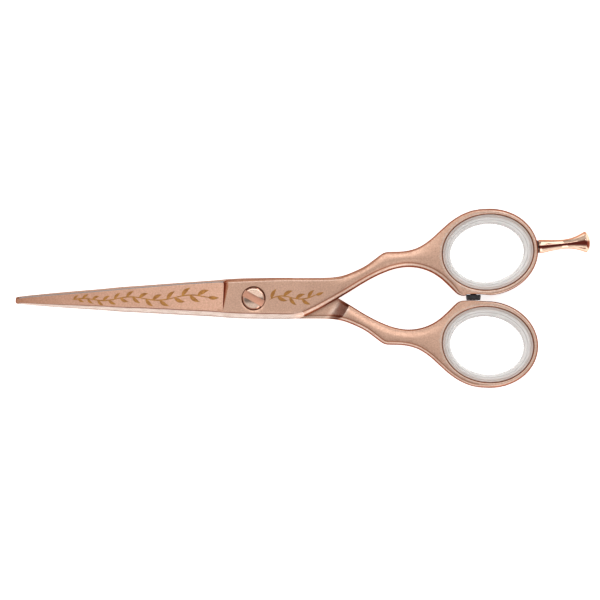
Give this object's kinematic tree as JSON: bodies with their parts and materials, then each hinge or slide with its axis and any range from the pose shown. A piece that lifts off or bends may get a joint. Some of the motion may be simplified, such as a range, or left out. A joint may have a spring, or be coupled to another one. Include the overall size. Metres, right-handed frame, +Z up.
{
  "type": "hair cutting shears",
  "caption": "Hair cutting shears with offset finger rings, clear ring inserts, a rubber bumper and a turned finger rest, on a slotted tension screw.",
  "frame": {"origin": "on the pivot axis, in the plane of the flat back of the joint that the closed shears lie on", "axes": "+Z up the pivot axis to the screw head, +X from the pivot to the finger rings, +Y the finger ring's side"},
  "size_m": [0.1534, 0.0478, 0.0062],
  "materials": {
    "forged_halves": "satin copper-coloured coating, polished bevels",
    "polished_fittings": "polished copper-coloured coating",
    "spring_steel": "bright",
    "nylon": "smooth",
    "clear_silicone": "translucent",
    "black_rubber": "matt"
  },
  "bodies": {
    "finger_half": {"finger_blade": "forged_halves", "finger_insert": "clear_silicone", "bumper": "black_rubber", "spring_washer": "spring_steel"},
    "thumb_half": {"thumb_blade": "forged_halves", "thumb_insert": "clear_silicone", "glide_washer": "nylon"},
    "tension_screw": {"pivot_screw": "polished_fittings"},
    "rest_washer": {"finger_rest_washer": "black_rubber"},
    "rest": {"finger_rest": "polished_fittings"}
  },
  "joints": [
    {"name": "pivot", "type": "hinge", "parent": "finger_half", "child": "thumb_half", "pos_m": [0, 0, 0.00285], "axis": [0, 0, -1], "range_deg": [0, 150]},
    {"name": "tension_turn", "type": "hinge", "parent": "thumb_half", "child": "tension_screw", "pos_m": [0, 0, 0.00285], "axis": [0, 0, 1], "range_deg": [-45, 45]},
    {"name": "rest_feed", "type": "slide", "parent": "finger_half", "child": "rest_washer", "axis": [0.9952, 0.0976, 0], "range_m": [0, 0.0015]},
    {"name": "rest_turn", "type": "hinge", "parent": "rest_washer", "child": "rest", "pos_m": [0.07595, 0.0138, 0.00285], "axis": [0.9952, 0.0976, 0], "range_deg": [0, 1080]}
  ],
  "couplings": [
    {"joint": "rest_turn", "follows": "rest_feed", "rad_per_m": 12566}
  ]
}
